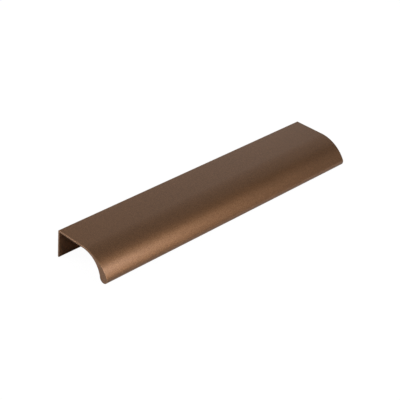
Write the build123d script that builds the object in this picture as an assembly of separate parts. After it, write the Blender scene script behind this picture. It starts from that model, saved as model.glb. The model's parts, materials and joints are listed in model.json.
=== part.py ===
"""Lip pull: an edge handle for a cabinet door or drawer front, cut from one drawn metal section.

A thin flange is screwed to the back of the door, a thin plate lies over the door's edge, and in front
the plate curls down into a lip that thickens to a round nose, where the fingers pull.

Units are millimetres. X runs along the handle, -Y is the front of the door and +Z is up. The origin is
at the middle of the length and of the depth, at the flange's lower edge.
"""

import os
from math import sqrt

from build123d import *

# Driving sizes of the bar and its section
LENGTH = 200.0           # cut length
DEPTH = 40.0             # rear face of the flange to the front of the nose
FLANGE_HEIGHT = 17.3     # lower edge of the flange to the top of the plate
WALL = 1.0               # flange and plate
LIP_DROP = 14.9          # top of the plate down to the lowest point of the nose
OUTER_RADIUS = 22.5      # convex front of the lip
INNER_RADIUS = 14.2      # concave back of the lip, where the fingers lie
NOSE_RADIUS = 2.9        # full round along the lip's lower edge

# Small edges
CORNER_RADIUS = 0.4      # outside corner between plate and flange
ROOT_RADIUS = 0.4        # inside corner between plate and flange
LOWER_EDGE_RADIUS = 0.4  # both edges of the flange's lower end
LOWER_EDGE_SHARE = 0.45  # most of the wall that each of those two rounds may take
END_CHAMFER = 0.15       # deburred edges of the two cut ends

# Screw holes in the flange, sunk from behind
HOLE_DIAMETER = 4.2
SINK_DIAMETER = 5.4
SINK_ANGLE = 90.0
HOLE_FROM_END = 20.0     # cut end to the centre of the nearest hole

# Places in the section, as (y, z)
rear = DEPTH / 2
seat = rear - WALL                       # face of the flange that lies on the door
top = FLANGE_HEIGHT
underside = top - WALL                   # face of the plate that lies on the door's edge
nose_centre = Vector(NOSE_RADIUS - DEPTH / 2, top - LIP_DROP + NOSE_RADIUS)


def bend_centre(tangent_height, radius, reach):
    """Centre of an arc that leaves a level face at tangent_height, at the distance reach from the nose's centre."""
    height = tangent_height - radius
    run = sqrt(reach**2 - (nose_centre.Y - height) ** 2)
    return Vector(nose_centre.X + run, height)


outer_centre = bend_centre(top, OUTER_RADIUS, OUTER_RADIUS - NOSE_RADIUS)
inner_centre = bend_centre(underside, INNER_RADIUS, INNER_RADIUS + NOSE_RADIUS)
outer_start = Vector(outer_centre.X, top)
inner_start = Vector(inner_centre.X, underside)
front_meets_nose = outer_centre + (nose_centre - outer_centre).normalized() * OUTER_RADIUS
back_meets_nose = inner_centre + (nose_centre - inner_centre).normalized() * INNER_RADIUS


def lip_pull_section():
    """The drawn section: flange, plate, and a lip between two arcs that a round nose closes tangentially."""
    with BuildSketch(Plane.YZ) as section:
        with BuildLine():
            Polyline((seat, 0), (rear, 0), (rear, top), outer_start)
            front = TangentArc(outer_start, front_meets_nose, tangent=(-1, 0))
            nose = TangentArc(front_meets_nose, back_meets_nose, tangent=front % 1)
            TangentArc(back_meets_nose, inner_start, tangent=nose % 1)
            Polyline(inner_start, (seat, underside), (seat, 0))
        make_face()
        fillet(section.vertices().sort_by_distance((rear, top))[0], CORNER_RADIUS)
        fillet(section.vertices().sort_by_distance((seat, underside))[0], ROOT_RADIUS)
        lower_radius = min(LOWER_EDGE_RADIUS, LOWER_EDGE_SHARE * WALL)
        fillet(section.vertices().group_by(Axis.Y)[0], lower_radius)
    return section.sketch


def screw_holes():
    """Two countersunk holes, half way up the inside of the flange, that open wider on its rear face."""
    rear_face = Plane(origin=(0, rear, underside / 2), x_dir=(1, 0, 0), z_dir=(0, 1, 0))
    hole = CounterSinkHole(HOLE_DIAMETER / 2, SINK_DIAMETER / 2, 2 * WALL, SINK_ANGLE)
    return [rear_face * place * hole for place in GridLocations(LENGTH - 2 * HOLE_FROM_END, 0, 2, 1)]


def lip_pull():
    """The section at its cut length, with deburred ends and the holes in its flange."""
    bar = extrude(lip_pull_section(), LENGTH / 2, both=True)
    for cut_end in (0, -1):
        bar = chamfer(bar.faces().sort_by(Axis.X)[cut_end].edges(), END_CHAMFER)
    return bar - screw_holes()


os.makedirs("parts", exist_ok=True)
export_step(lip_pull(), "parts/lip_pull.step")
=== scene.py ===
# %% [markdown]
# # A lip pull in satin bronze
#
# A lip pull is a length of drawn metal section that is screwed over the edge of a cabinet door. A thin
# flange hides behind the door, a thin plate lies on its edge, and in front the plate curls down into a
# lip that fingers pull on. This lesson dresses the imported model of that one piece: it builds the bar
# again as a fine mesh with softened edges, gives it a metallic finish and photographs it on white.
#
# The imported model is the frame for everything. Its box and its stated mounts give the sizes, so the
# visible bar lies exactly where the solid is.

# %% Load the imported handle
import json
import math

import bmesh
import bpy
import numpy as np
from mathutils import Matrix, Vector


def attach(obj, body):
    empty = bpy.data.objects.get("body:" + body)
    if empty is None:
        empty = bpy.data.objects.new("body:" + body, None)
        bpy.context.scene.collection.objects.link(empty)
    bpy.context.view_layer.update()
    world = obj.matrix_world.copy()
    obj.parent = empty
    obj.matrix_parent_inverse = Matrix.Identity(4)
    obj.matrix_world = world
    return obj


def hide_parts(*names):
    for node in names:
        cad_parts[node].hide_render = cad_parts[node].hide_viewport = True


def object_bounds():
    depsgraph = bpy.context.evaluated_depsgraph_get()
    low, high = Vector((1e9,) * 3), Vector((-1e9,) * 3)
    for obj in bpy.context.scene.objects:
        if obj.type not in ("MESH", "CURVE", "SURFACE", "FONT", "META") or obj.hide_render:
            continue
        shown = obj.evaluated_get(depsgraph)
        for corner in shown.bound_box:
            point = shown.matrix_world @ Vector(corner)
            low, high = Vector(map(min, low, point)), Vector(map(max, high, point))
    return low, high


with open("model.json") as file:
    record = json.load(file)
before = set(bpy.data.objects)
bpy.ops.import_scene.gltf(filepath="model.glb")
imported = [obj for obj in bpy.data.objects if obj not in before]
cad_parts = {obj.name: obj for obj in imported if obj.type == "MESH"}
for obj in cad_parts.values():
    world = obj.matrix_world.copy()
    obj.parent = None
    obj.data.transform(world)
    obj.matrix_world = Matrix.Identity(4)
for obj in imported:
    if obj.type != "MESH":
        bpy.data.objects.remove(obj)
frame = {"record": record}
cad_low, cad_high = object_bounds()
MM = 0.001
mounts = {mount["name"]: mount for mount in frame["record"]["mounts"]}
print("handle box, mm:", [round(side / MM, 2) for side in cad_high - cad_low])

# %% [markdown]
# ## The section
#
# The bar has one section from end to end, so the section is worth drawing exactly. It could be a
# polygon traced by eye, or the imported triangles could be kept, but both show flat facets in a long
# highlight. Here the outline is two rails that start side by side under the flange. The outer rail
# goes up the back and over the top, the inner rail goes up the seat and under the plate, and both end
# at the tip of the nose. Every stretch of a rail is a straight or an arc, and neighbouring stretches
# share their tangent, as they do on the drawing die.
#
# Both rails have the same number of samples, so sample i of one faces sample i of the other across the
# metal. The cut ends use that later.

# %% Sizes, from the frame where it states them
BAR_END = cad_high.x
REAR = cad_high.y
FRONT = cad_low.y
TOP = cad_high.z
SEAT = mounts["flange_seat"]["pos_m"][1]
UNDERSIDE = mounts["plate_seat"]["pos_m"][2]
LIP_DROP = 14.9 * MM
OUTER_RADIUS = 22.5 * MM
INNER_RADIUS = 14.2 * MM
NOSE_RADIUS = 2.9 * MM
SMALL_RADIUS = 0.4 * MM
print("wall, mm:", round((REAR - SEAT) / MM, 2))

# %% Straights and arcs
ROUND_SAMPLES = 9


def crowded(count):
    """Shares from 0 to 1 that crowd at both ends: (1 - cos(pi t)) / 2 for even steps t."""
    return (1 - np.cos(np.pi * np.linspace(0.0, 1.0, count))) / 2


def straight(start, end, count, crowd=True):
    """Points (y, z) from start to end and the direction of travel at each: start + share (end - start).

    Crowded shares keep a small round next to a flat from bending the flat's shading. Without crowding
    the shares are even.
    """
    start, end = np.array(start), np.array(end)
    share = crowded(count) if crowd else np.linspace(0.0, 1.0, count)
    direction = (end - start) / np.linalg.norm(end - start)
    return start + share[:, None] * (end - start), np.tile(direction, (count, 1))


def arc(centre, radius, first, last, count):
    """Points centre + radius (cos a, sin a) for a from first to last degrees, and the travel there."""
    a = np.radians(np.linspace(first, last, count))
    across = np.stack([np.cos(a), np.sin(a)], axis=1)
    along = np.stack([-np.sin(a), np.cos(a)], axis=1) * np.sign(last - first)
    return np.array(centre) + radius * across, along


def chain(stretches, turn):
    """One rail from stretches that meet end to end: its points and its outward normals.

    The normal is the travel turned a quarter: turn -1 where the metal lies to the left, 1 to the right.
    """
    kept = [stretches[0]] + [(p[1:], d[1:]) for p, d in stretches[1:]]
    points = np.concatenate([p for p, _ in kept])
    travel = np.concatenate([d for _, d in kept])
    return points, turn * np.stack([-travel[:, 1], travel[:, 0]], axis=1)


small_round, _ = arc((0.0, 0.0), SMALL_RADIUS, 0, 90, ROUND_SAMPLES)
chord = np.linalg.norm(small_round[1] - small_round[0])
print("chord on a small round, mm:", round(chord / MM, 3))

# %% Centres of the three lip arcs


def bend_centre(tangent_height, radius, reach):
    """Centre of an arc that leaves a level face, at the distance reach from the nose's centre.

    Its height is one radius below the face, and Pythagoras gives how far it lies behind the nose.
    """
    height = tangent_height - radius
    return np.array([nose_centre[0] + math.sqrt(reach**2 - (nose_centre[1] - height) ** 2), height])


def heading(start, end):
    """Angle in degrees, from 0 to 360, of the direction from start to end."""
    return math.degrees(math.atan2(end[1] - start[1], end[0] - start[0])) % 360


nose_centre = np.array([FRONT + NOSE_RADIUS, TOP - LIP_DROP + NOSE_RADIUS])
outer_centre = bend_centre(TOP, OUTER_RADIUS, OUTER_RADIUS - NOSE_RADIUS)
inner_centre = bend_centre(UNDERSIDE, INNER_RADIUS, INNER_RADIUS + NOSE_RADIUS)
nose_front = heading(outer_centre, nose_centre)
nose_back = heading(nose_centre, inner_centre)
nose_tip = (nose_front + nose_back) / 2
print("nose turns through, degrees:", round(nose_back - nose_front, 1))

# %% The two rails and the closed outline
screws = mounts["flange_screws"]
HOLE_HEIGHT = screws["pos_m"][2]
BLOCK = 6.0 * MM
BLOCK_SAMPLES = 17
FLANGE_SAMPLES = 6
PLATE_SAMPLES = 21
LIP_SAMPLES = 49
NOSE_SAMPLES = 25
block_low, block_high = HOLE_HEIGHT - BLOCK, HOLE_HEIGHT + BLOCK
small = SMALL_RADIUS

outer_stretches = [
    arc((REAR - small, small), small, -90, 0, ROUND_SAMPLES),
    straight((REAR, small), (REAR, block_low), FLANGE_SAMPLES),
    straight((REAR, block_low), (REAR, block_high), BLOCK_SAMPLES, crowd=False),
    straight((REAR, block_high), (REAR, TOP - small), FLANGE_SAMPLES),
    arc((REAR - small, TOP - small), small, 0, 90, ROUND_SAMPLES),
    straight((REAR - small, TOP), (outer_centre[0], TOP), PLATE_SAMPLES),
    arc(outer_centre, OUTER_RADIUS, 90, nose_front, LIP_SAMPLES),
    arc(nose_centre, NOSE_RADIUS, nose_front, nose_tip, NOSE_SAMPLES),
]
inner_stretches = [
    arc((SEAT + small, small), small, -90, -180, ROUND_SAMPLES),
    straight((SEAT, small), (SEAT, block_low), FLANGE_SAMPLES),
    straight((SEAT, block_low), (SEAT, block_high), BLOCK_SAMPLES, crowd=False),
    straight((SEAT, block_high), (SEAT, UNDERSIDE - small), FLANGE_SAMPLES),
    arc((SEAT - small, UNDERSIDE - small), small, 0, 90, ROUND_SAMPLES),
    straight((SEAT - small, UNDERSIDE), (inner_centre[0], UNDERSIDE), PLATE_SAMPLES),
    arc(inner_centre, INNER_RADIUS, 90, nose_back - 180, LIP_SAMPLES),
    arc(nose_centre, NOSE_RADIUS, nose_back, nose_tip, NOSE_SAMPLES),
]
outer_rail, outer_normals = chain(outer_stretches, turn=-1)
inner_rail, inner_normals = chain(inner_stretches, turn=1)
outline = np.concatenate([outer_rail, inner_rail[-2::-1]])
outline_normals = np.concatenate([outer_normals, inner_normals[-2::-1]])
rail_count = len(outer_rail)
print("samples on a rail:", rail_count, "and round the section:", len(outline))

# %% [markdown]
# ## The bar
#
# The section is carried along X. An extrude would do that too, but it leaves razor edges at the two
# cut ends, and a real cut end is deburred before it is coated. That soft edge catches a thin line of
# light in the photograph, so it has to be geometry. At each station along the bar the outline is
# moved into the metal by an inset. The inset is zero along the bar and follows a quarter circle
# through the last fraction of a millimetre, which rounds the edge all the way round the section.
#
# The stations crowd where the end begins, for the same reason as the samples on the rails, and they
# are even beside the screw holes, where a patch with a round hole will take the place of the grid.

# %% Stations along the bar and their insets
EASE = 0.15 * MM
CAP_MARGIN = 0.05 * MM
EASE_STATIONS = 6
END_STATIONS = 11
MIDDLE_STATIONS = 19
HOLE_X = screws["dims"]["spacing_x_mm"] * MM / 2
hole_places = np.array([-HOLE_X, HOLE_X])

# The first ring lies on the flat of the cut, just inside the round, and keeps the flat's shading level.
quarter = np.radians(np.linspace(90, 0, EASE_STATIONS))
ease_x = np.concatenate([[BAR_END], BAR_END - EASE * (1 - np.sin(quarter))])
ease_inset = np.concatenate([[EASE + CAP_MARGIN], EASE * (1 - np.cos(quarter))])
ease_soft = np.concatenate([[0.0], np.ones(len(quarter))])

near_end = BAR_END - EASE + crowded(END_STATIONS) * (HOLE_X + BLOCK - BAR_END + EASE)
beside_hole = np.linspace(HOLE_X + BLOCK, HOLE_X - BLOCK, BLOCK_SAMPLES)
to_middle = np.linspace(HOLE_X - BLOCK, 0, MIDDLE_STATIONS)
half_x = np.concatenate([ease_x, near_end[1:], beside_hole[1:], to_middle[1:]])
half_inset = np.pad(ease_inset, (0, len(half_x) - len(ease_inset)))
half_soft = np.pad(ease_soft, (0, len(half_x) - len(ease_soft)))

station_x = np.concatenate([-half_x, half_x[-2::-1]])
station_inset = np.concatenate([half_inset, half_inset[-2::-1]])
station_soft = np.concatenate([half_soft, half_soft[-2::-1]])
print("stations along the bar:", len(station_x))

# %% Carry the outline through the stations


def grid_faces(rows, columns):
    """Corner numbers of the quads between neighbouring rows and columns of a grid of points.

    Corner (r, c) has the number r * columns + c, and the last column joins the first.
    """
    r, c = np.meshgrid(np.arange(rows - 1), np.arange(columns), indexing="ij")
    after = (c + 1) % columns
    here, above = r * columns, (r + 1) * columns
    return np.stack([here + c, here + after, above + after, above + c], axis=-1)


def carried(outline, normals, x, inset):
    """Points (x, y, z) of the outline at every station: y and z are moved by inset against the normal."""
    yz = outline[None] - inset[:, None, None] * normals[None]
    return np.concatenate([np.broadcast_to(x[:, None, None], (len(x), len(outline), 1)), yz], axis=2)


def soft_shares(stretches, softened):
    """One for each sample of the stretches numbered in softened, zero for the others.

    Every stretch but the first leaves out its first sample, as it does in chain.
    """
    counts = [len(points) - (number > 0) for number, (points, _) in enumerate(stretches)]
    return np.repeat(np.isin(np.arange(len(stretches)), softened).astype(float), counts)


# Numbers of stretches: the flange's lower edge, and the corner where flange and plate meet.
LOWER_EDGE, CORNER = 0, 4
outer_soft = soft_shares(outer_stretches, [LOWER_EDGE, CORNER])
inner_soft = soft_shares(inner_stretches, [LOWER_EDGE])
outline_soft = np.concatenate([outer_soft, inner_soft[-2::-1]])
bar_points = carried(outline, outline_normals, station_x, station_inset)
bar_soft = np.maximum(station_soft[:, None], outline_soft[None])
bar_faces = grid_faces(len(station_x), len(outline))
print("points carried along the bar:", bar_points.shape[0] * bar_points.shape[1])

# %% Leave the grid open where the screw holes come
BLOCK_STRETCH = 2
block_first = sum(len(points) - 1 for points, _ in outer_stretches[:BLOCK_STRETCH])
block_rows = np.arange(block_first, block_first + BLOCK_SAMPLES - 1)
facing_rows = len(outline) - 2 - block_rows
middle_x = (station_x[1:] + station_x[:-1]) / 2
block_columns = (np.abs(middle_x[:, None] - hole_places) < BLOCK).any(axis=1)
keep = np.ones(bar_faces.shape[:2], bool)
keep[np.ix_(block_columns, np.concatenate([block_rows, facing_rows]))] = False
bar_faces = bar_faces[keep]
print("quads along the bar:", len(bar_faces))

# %% [markdown]
# ## The screw holes
#
# Two countersunk holes near the ends of the flange take the wood screws that hold the pull to the back
# of the door. A boolean cut would do, but it leaves long thin triangles around the hole. Instead each
# hole sits in a square patch whose points lie on straight lines from the circle to the square's edge.
# The square's edge has the same points as the grid around it, so the two weld without a seam. The wall
# is the hole's own profile, a cone and then a short cylinder, turned about the screw's axis.

# %% Patch and wall of a countersunk hole
HOLE_RADIUS = screws["dims"]["hole_r_mm"] * MM
SINK_RADIUS = 2.7 * MM
PATCH_RINGS = 9
RING_POWER = 1.5
side = np.linspace(-BLOCK, BLOCK, BLOCK_SAMPLES)[:-1]
edge = np.full(len(side), BLOCK)
square = np.concatenate([
    np.stack([side, -edge], axis=1),
    np.stack([edge, side], axis=1),
    np.stack([-side, edge], axis=1),
    np.stack([-edge, -side], axis=1),
])
circle = square / np.linalg.norm(square, axis=1, keepdims=True)


def placed(flat, y, x):
    """Points of the flange's plane at depth y, from flat offsets (along X, up) round the hole at x."""
    depth = np.broadcast_to(np.asarray(y, float), flat.shape[:-1])
    return np.stack([x + flat[..., 0], depth, HOLE_HEIGHT + flat[..., 1]], axis=-1)


def hole_patch(radius, y, x):
    """Flat ring between a circle and the square block: share s of the way from one to the other.

    The shares are even steps raised to RING_POWER, so the rings lie closer together beside the hole.
    """
    s = np.linspace(0, 1, PATCH_RINGS)[:, None, None] ** RING_POWER
    return placed((1 - s) * radius * circle + s * square, y, x)


def hole_wall(x):
    """Profile (radius, y) of the sunk hole turned about its axis: point = radius times the unit circle.

    The cone slopes at 45 degrees, so it is as deep as it narrows.
    """
    radius = np.array([SINK_RADIUS, HOLE_RADIUS, HOLE_RADIUS])
    y = np.array([REAR, REAR - (SINK_RADIUS - HOLE_RADIUS), SEAT])
    return placed(radius[:, None, None] * circle, y[:, None], x)


hole_grids = []
for x in hole_places:
    hole_grids += [hole_patch(SINK_RADIUS, REAR, x), hole_patch(HOLE_RADIUS, SEAT, x), hole_wall(x)]
print("grids for the holes:", len(hole_grids))

# %% [markdown]
# ## The cut ends
#
# The ends are sawn square, so each one is flat. A single polygon with hundreds of corners would close an
# end, but it triangulates badly. Because the rails are sampled in step, the end is a ladder: a
# rung joins each sample of the outer rail to its partner on the inner rail, and the quads between the
# rungs follow the metal from the flange's edge to the tip of the nose.

# %% Ladders that close the two ends


def ladder(first_point):
    """Quads between neighbouring rungs of a ring of points, and the triangle where the rails meet.

    Rung i joins ring number i, on the outer rail, to ring number last - i, on the inner rail.
    """
    i = np.arange(rail_count - 2)
    last = len(outline) - 1
    quads = np.stack([i, i + 1, last - i - 1, last - i], axis=1)
    tip = rail_count - 1
    triangles = np.array([[tip - 1, tip, tip + 1]])
    return first_point + quads, first_point + triangles


last_ring = (len(station_x) - 1) * len(outline)
end_ladders = [ladder(0), ladder(last_ring)]
print("quads in one cut end:", len(end_ladders[0][0]))

# %% [markdown]
# ## One welded mesh
#
# The grids so far only touch. Merging the points that coincide makes one closed skin, and a closed
# skin lets Blender work out which way is out. Smooth shading then follows the dense arcs, while edges
# that turn by more than the small rounds do, such as the rims of the screw holes, are marked sharp.
#
# A point attribute called soft_edge is one on the softened edges and zero elsewhere. The finish reads it.

# %% Weld, shade and hand the bar over
SHARP_FROM = math.radians(28)
WELD_DISTANCE = 0.001 * MM
points = [bar_points.reshape(-1, 3)]
soft = [bar_soft.ravel()]
faces = bar_faces.tolist()
for quads, triangles in end_ladders:
    faces += quads.tolist() + triangles.tolist()
offset = len(points[0])
for grid in hole_grids:
    rows, columns = grid.shape[:2]
    faces += (offset + grid_faces(rows, columns).reshape(-1, 4)).tolist()
    points.append(grid.reshape(-1, 3))
    soft.append(np.zeros(rows * columns))
    offset += rows * columns


def welded(name, points, soft, faces):
    """A closed mesh object: coinciding points merged, faces turned outwards, rims shaded sharp."""
    mesh = bpy.data.meshes.new(name)
    mesh.from_pydata(points, [], faces)
    mesh.attributes.new("soft_edge", "FLOAT", "POINT").data.foreach_set("value", soft)
    work = bmesh.new()
    work.from_mesh(mesh)
    bmesh.ops.remove_doubles(work, verts=work.verts, dist=WELD_DISTANCE)
    bmesh.ops.recalc_face_normals(work, faces=work.faces)
    work.to_mesh(mesh)
    work.free()
    face_edges = np.empty(len(mesh.loops), np.int32)
    mesh.loops.foreach_get("edge_index", face_edges)
    print("edges without two faces:", np.count_nonzero(np.bincount(face_edges) != 2))
    mesh.shade_smooth()
    mesh.set_sharp_from_angle(angle=SHARP_FROM)
    piece = bpy.data.objects.new(name, mesh)
    bpy.context.scene.collection.objects.link(piece)
    return piece


bar = welded("bronze_bar", np.concatenate(points), np.concatenate(soft), faces)
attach(bar, "root")
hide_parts("lip_pull")
print("faces in the bar:", len(bar.data.polygons))

# %% [markdown]
# ## Shader arithmetic
#
# A finish is worked out per point by small nodes: noise, mixing, a little arithmetic. Placing nodes by
# hand in the editor is how one would find the look, but a script reads better as formulas. The class
# below wraps one socket, and plus, minus and times on it add the Math nodes. Every other node comes from
# its one method, which takes the kind of node, its settings, and what goes into its sockets.

# %% One socket that can be calculated with


class Wire:
    """A node's output socket in a material. Arithmetic on it adds a Math node and gives its output."""

    def __init__(self, tree, socket=None):
        self.tree = tree
        self.socket = socket

    def node(self, kind, settings=None, sockets=None, output=0):
        """A new node in the same material: its settings first, then a value or a Wire for each socket."""
        made = self.tree.nodes.new(kind)
        for name, value in (settings or {}).items():
            setattr(made, name, value)
        for name, value in (sockets or {}).items():
            if isinstance(value, Wire):
                self.tree.links.new(value.socket, made.inputs[name])
            else:
                made.inputs[name].default_value = value
        return Wire(self.tree, made.outputs[output] if made.outputs else None)

    def maths(self, operation, first, second):
        """The output of a Math node on two values or Wires."""
        return self.node("ShaderNodeMath", {"operation": operation}, {0: first, 1: second})

    def __add__(self, other):
        return self.maths("ADD", self, other)

    def __sub__(self, other):
        return self.maths("SUBTRACT", self, other)

    def __rsub__(self, other):
        return self.maths("SUBTRACT", other, self)

    def __mul__(self, other):
        return self.maths("MULTIPLY", self, other)

    __radd__ = __add__
    __rmul__ = __mul__


def fresh_tree(holder):
    """The emptied node tree of a material or a world, wrapped so that nodes can be added to it."""
    holder.use_nodes = True
    holder.node_tree.nodes.clear()
    return Wire(holder.node_tree)


print("arithmetic on sockets is ready")

# %% [markdown]
# ## Satin bronze
#
# The bar is aluminium with a thin bronze coat, a lacquer full of very fine metal flakes under a clear
# film. The flakes tint what they mirror, so the long highlight is copper coloured. The clear film adds a
# colourless reflection, which is why the flat top looks greyer than the curve beside it. One metallic
# shader could give the first and one glossy layer the second. The Principled shader has both, as its
# metallic base and its coat.
#
# Close up the coat isn't even. Each flake is lighter or darker than its neighbours, and cells of a Voronoi
# texture, each with a shade of its own, stand for them. The coat also has a soft grain of under half a
# millimetre, and the spray leaves clouds of several centimetres. Both of those are noise. On the softened
# edges the coat draws back a little and shows copper, and the same copper colour is also a painted
# highlight: it paints in part of the thin bright line of light along the softened edges. All of it is
# worked out from the object's own coordinates in metres, so the scale of a texture is its number of lumps
# in a metre.

# %% Colours and amounts of the coat
BRONZE_DEEP = (0.203, 0.090, 0.031, 1.0)
BRONZE_LIGHT = (0.453, 0.224, 0.101, 1.0)
# Copper of the softened edges: partly worn coat, partly a painted highlight for the thin bright line
# there.
COPPER_WEAR_AND_HIGHLIGHT = (0.56, 0.31, 0.16, 1.0)
GRAINS_PER_METRE = 2500.0
FLAKES_PER_METRE = 4000.0
CLOUDS_PER_METRE = 24.0
GRAIN_DETAIL, CLOUD_DETAIL = 2.0, 3.0
NOISE_ROUGHNESS, NOISE_MIDDLE = 0.6, 0.5
GRAIN_SHARE, FLAKE_SHARE, CLOUD_SHARE = 0.10, 0.80, 0.10
EDGE_WEAR_AND_HIGHLIGHT, RAGGED_EDGE = 0.45, 0.4
BASE_ROUGHNESS = 0.45
CLOUD_GLOSS, GRAIN_GLOSS = 0.08, 0.04
FILM_WEIGHT, FILM_ROUGHNESS, FILM_IOR = 1.0, 0.32, 1.5
RELIEF_STRENGTH, RELIEF_DEPTH = 1.0, 0.04 * MM
print("grain, flake, cloud in mm:", [
    round(1 / count / MM, 2) for count in (GRAINS_PER_METRE, FLAKES_PER_METRE, CLOUDS_PER_METRE)
])

# %% The coat's material


def satin_bronze():
    """Metallic base under a clear film: flakes mix two bronzes, edges turn coppery, clouds vary gloss.

    The coppery edges are partly worn coat and partly a painted highlight.
    """
    material = bpy.data.materials.new("satin_bronze")
    tree = fresh_tree(material)
    place = tree.node("ShaderNodeTexCoord", output="Object")

    def noise(scale, detail):
        """Soft noise from 0 to 1, about scale lumps to the metre."""
        sockets = {"Vector": place, "Scale": scale, "Detail": detail, "Roughness": NOISE_ROUGHNESS}
        return tree.node("ShaderNodeTexNoise", sockets=sockets, output="Fac")

    def blend(share, first, second):
        """The colour at a share of the way from first to second.

        A Mix node has sockets for every kind of value. Those for colours are inputs 6 and 7, output 2.
        """
        sockets = {0: share, 6: first, 7: second}
        return tree.node("ShaderNodeMix", {"data_type": "RGBA"}, sockets, output=2)

    grain = noise(GRAINS_PER_METRE, GRAIN_DETAIL)
    clouds = noise(CLOUDS_PER_METRE, CLOUD_DETAIL)
    cells = {"Vector": place, "Scale": FLAKES_PER_METRE}
    shades = tree.node("ShaderNodeTexVoronoi", sockets=cells, output="Color")
    flakes = tree.node("ShaderNodeSeparateColor", sockets={"Color": shades}, output="Red")
    edge = tree.node("ShaderNodeAttribute", {"attribute_name": "soft_edge"}, output="Fac")

    light_share = GRAIN_SHARE * grain + FLAKE_SHARE * flakes + CLOUD_SHARE * clouds
    bronze = blend(light_share, BRONZE_DEEP, BRONZE_LIGHT)
    uneven_grain = grain - NOISE_MIDDLE
    uneven_clouds = clouds - NOISE_MIDDLE
    # Towards copper on the softened edges: part worn coat, part painted highlight of the thin line of
    # light.
    wear_and_highlight = edge * (EDGE_WEAR_AND_HIGHLIGHT + RAGGED_EDGE * uneven_grain)
    colour = blend(wear_and_highlight, bronze, COPPER_WEAR_AND_HIGHLIGHT)
    roughness = BASE_ROUGHNESS + CLOUD_GLOSS * uneven_clouds + GRAIN_GLOSS * uneven_grain
    relief = tree.node("ShaderNodeBump", sockets={
        "Strength": RELIEF_STRENGTH, "Distance": RELIEF_DEPTH, "Height": grain,
    })
    surface = tree.node("ShaderNodeBsdfPrincipled", sockets={
        "Base Color": colour, "Metallic": 1.0, "Roughness": roughness, "Normal": relief,
        "Coat Weight": FILM_WEIGHT, "Coat Roughness": FILM_ROUGHNESS, "Coat IOR": FILM_IOR,
    })
    tree.node("ShaderNodeOutputMaterial", sockets={"Surface": surface})
    return material


bar.data.materials.append(satin_bronze())
print("nodes in the finish:", len(bar.data.materials[0].node_tree.nodes))

# %% [markdown]
# ## Floor and surroundings
#
# The handle lies on a white table that runs out of the picture with no horizon. In a studio the table top
# is lit until it burns out to white. A floor lit that hard would also light the handle from below, so this
# floor is an ordinary pale sheet, and where the camera looks straight at it most of the sheet is traded
# for a plain glow. The handle still mirrors the pale sheet. The shadow where the two touch stays, but only
# just.
#
# The room around the table is an even grey to the handle, and white to the camera.

# %% A pale floor
FLOOR_HALF = 3.0
FLOOR_PALE = (0.90, 0.90, 0.90, 1.0)
FLOOR_GLOW = 1.08
GLOW_SHARE = 0.9


def scenery(name, corners, material):
    """One flat face with four corners, as an object of the stage."""
    mesh = bpy.data.meshes.new(name)
    mesh.from_pydata(corners, [], [[0, 1, 2, 3]])
    mesh.materials.append(material)
    piece = bpy.data.objects.new(name, mesh)
    bpy.context.scene.collection.objects.link(piece)
    return piece


def pale_sheet():
    """A pale matt material, mostly traded for a plain glow where the camera looks straight at it."""
    material = bpy.data.materials.new("pale_sheet")
    tree = fresh_tree(material)
    seen = tree.node("ShaderNodeLightPath", output="Is Camera Ray")
    sheet = tree.node("ShaderNodeBsdfDiffuse", sockets={"Color": FLOOR_PALE})
    glow = tree.node("ShaderNodeEmission", sockets={"Strength": FLOOR_GLOW})
    both = tree.node("ShaderNodeMixShader", sockets={0: GLOW_SHARE * seen, 1: sheet, 2: glow})
    tree.node("ShaderNodeOutputMaterial", sockets={"Surface": both})
    return material


unit_corners = np.array([[-1, -1, 0], [1, -1, 0], [1, 1, 0], [-1, 1, 0]])
floor = scenery("floor", FLOOR_HALF * unit_corners, pale_sheet())
print("floor side, m:", 2 * FLOOR_HALF)

# %% A grey room
ROOM_GREY = 0.193
WHITE = (1.0, 1.0, 1.0, 1.0)


def grey_room():
    """A world that lights the handle with even grey and looks white to the camera."""
    world = bpy.data.worlds.new("room")
    tree = fresh_tree(world)
    seen = tree.node("ShaderNodeLightPath", output="Is Camera Ray")
    strength = ROOM_GREY + (1 - ROOM_GREY) * seen
    sky = tree.node("ShaderNodeBackground", sockets={"Color": WHITE, "Strength": strength})
    tree.node("ShaderNodeOutputWorld", sockets={"Surface": sky})
    return world


bpy.context.scene.world = grey_room()
print("room:", bpy.context.scene.world.name, "with nodes:", len(bpy.context.scene.world.node_tree.nodes))

# %% [markdown]
# ## Softboxes
#
# A satin surface shows its lights as blurred bands, so each light is placed by asking which direction
# that part of the bar mirrors to the camera. The front of the lip mirrors a place in front, to the right
# and well above the table. A small softbox close by makes the copper highlight there, and because it is
# close the highlight fades towards the far end. A larger one farther off fills in around it.
#
# The level top mirrors the room behind on the right, where a wide dim softbox and a low white card stand.
# The white card is close to the bar, so the top is a little brighter along its back edge. One more box
# straight behind lifts the whole top. The softened edge of the near end mirrors a place high behind on
# the left, and a box there draws the thin bright line round the cut, together with the painted highlight
# in the coat's edge colour. It also lights the patch of table that the flat of the cut mirrors.
#
# A softbox is described by its glow, the brightness of its face, and the power follows from its area.
# The white card is treated as one more softbox. All places, widths and heights are in millimetres.

# %% Place the softboxes
BAR_MIDDLE = (0, 0, 8)


def facing(place, aim):
    """Placement of a flat thing at place that looks at aim: its own -Z axis points there."""
    towards = Vector(aim) - Vector(place)
    return Matrix.LocRotScale(Vector(place) * MM, towards.to_track_quat("-Z", "Y"), None)


def softbox(name, place, aim, width, height, glow):
    """A rectangular light at place, facing aim: its power is pi times area times glow."""
    lamp = bpy.data.lights.new(name, "AREA")
    lamp.shape = "RECTANGLE"
    lamp.size = width * MM
    lamp.size_y = height * MM
    lamp.energy = math.pi * lamp.size * lamp.size_y * glow
    box = bpy.data.objects.new(name, lamp)
    box.matrix_world = facing(place, aim)
    box.visible_camera = False
    bpy.context.scene.collection.objects.link(box)
    return box


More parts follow.
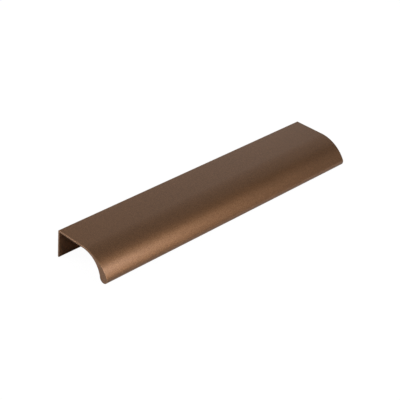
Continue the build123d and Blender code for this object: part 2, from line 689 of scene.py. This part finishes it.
softboxes = [
    softbox("front_key", (70, -250, 220), (-40, -10, 8), 120, 120, 3.27),
    softbox("front_fill", (40, -570, 400), BAR_MIDDLE, 400, 330, 2.7),
    softbox("back_mid", (0, 540, 400), BAR_MIDDLE, 330, 330, 1.08),
    softbox("back_left", (-368, 396, 453), BAR_MIDDLE, 250, 250, 6.5),
    softbox("right_wide", (560, 200, 400), BAR_MIDDLE, 600, 400, 0.145),
    softbox("back_card", (80, 80, 40), (80, 5, 15), 240, 60, 0.15),
]
print("softboxes:", len(softboxes))

# %% [markdown]
# ## A black card
#
# Between the top and the highlight runs a dark band. Towards the far end it should stay dark, but there it
# mirrors the grey room high in front on the right. Dimming the whole room would darken the top too. So a
# black card hangs in that one place, as a photographer would do it, and the camera doesn't see it.

# %% Hang the black card
CARD_PLACE = (420, -200, 450)
CARD_AIM = (60, -10, 14)
CARD_WIDTH, CARD_HEIGHT = 300, 160
CARD_BLACK = (0.02, 0.02, 0.02, 1.0)


def matt_black():
    """A plain diffuse material that throws back almost no light."""
    material = bpy.data.materials.new("matt_black")
    tree = fresh_tree(material)
    sheet = tree.node("ShaderNodeBsdfDiffuse", sockets={"Color": CARD_BLACK})
    tree.node("ShaderNodeOutputMaterial", sockets={"Surface": sheet})
    return material


placement = np.array(facing(CARD_PLACE, CARD_AIM))
turn, shift = placement[:3, :3], placement[:3, 3]
card_corners = unit_corners * np.array([CARD_WIDTH, CARD_HEIGHT, 0]) * MM / 2
card = scenery("black_card", card_corners @ turn.T + shift, matt_black())
card.visible_camera = False
print("black card at, mm:", CARD_PLACE)

# %% [markdown]
# ## Camera
#
# The picture was taken with a long lens from the left, in front and above. The view is set by where the
# camera looks, from which azimuth and elevation, how far away and how much it is rolled: the handle had
# settled on its lip, so against the handle the camera leans by a few degrees.

# %% Camera at the photograph's angle
LENS = 109.7
SENSOR = 36.0
AIM = Vector((-5.19, 4.08, 6.77)) * MM
DISTANCE = 714.7 * MM
AZIMUTH = math.radians(-48.317)
ELEVATION = math.radians(31.746)
ROLL = math.radians(4.867)


def aimed_camera():
    """A camera whose right, up and back axes come from the azimuth and elevation, then rolled."""
    back = Vector((
        math.sin(AZIMUTH) * math.cos(ELEVATION),
        -math.cos(AZIMUTH) * math.cos(ELEVATION),
        math.sin(ELEVATION),
    ))
    level = Vector((math.cos(AZIMUTH), math.sin(AZIMUTH), 0.0))
    lift = back.cross(level)
    right = math.cos(ROLL) * level + math.sin(ROLL) * lift
    up = back.cross(right)
    lens = bpy.data.cameras.new("camera")
    lens.lens = LENS
    lens.sensor_width = SENSOR
    camera = bpy.data.objects.new("camera", lens)
    turned = Matrix((right, up, back)).transposed().to_4x4()
    camera.matrix_world = Matrix.Translation(AIM + DISTANCE * back) @ turned
    bpy.context.scene.collection.objects.link(camera)
    return camera


bpy.context.scene.camera = aimed_camera()
bpy.context.scene.view_settings.view_transform = "Standard"
print("camera at, mm:", [round(side / MM) for side in bpy.context.scene.camera.location])
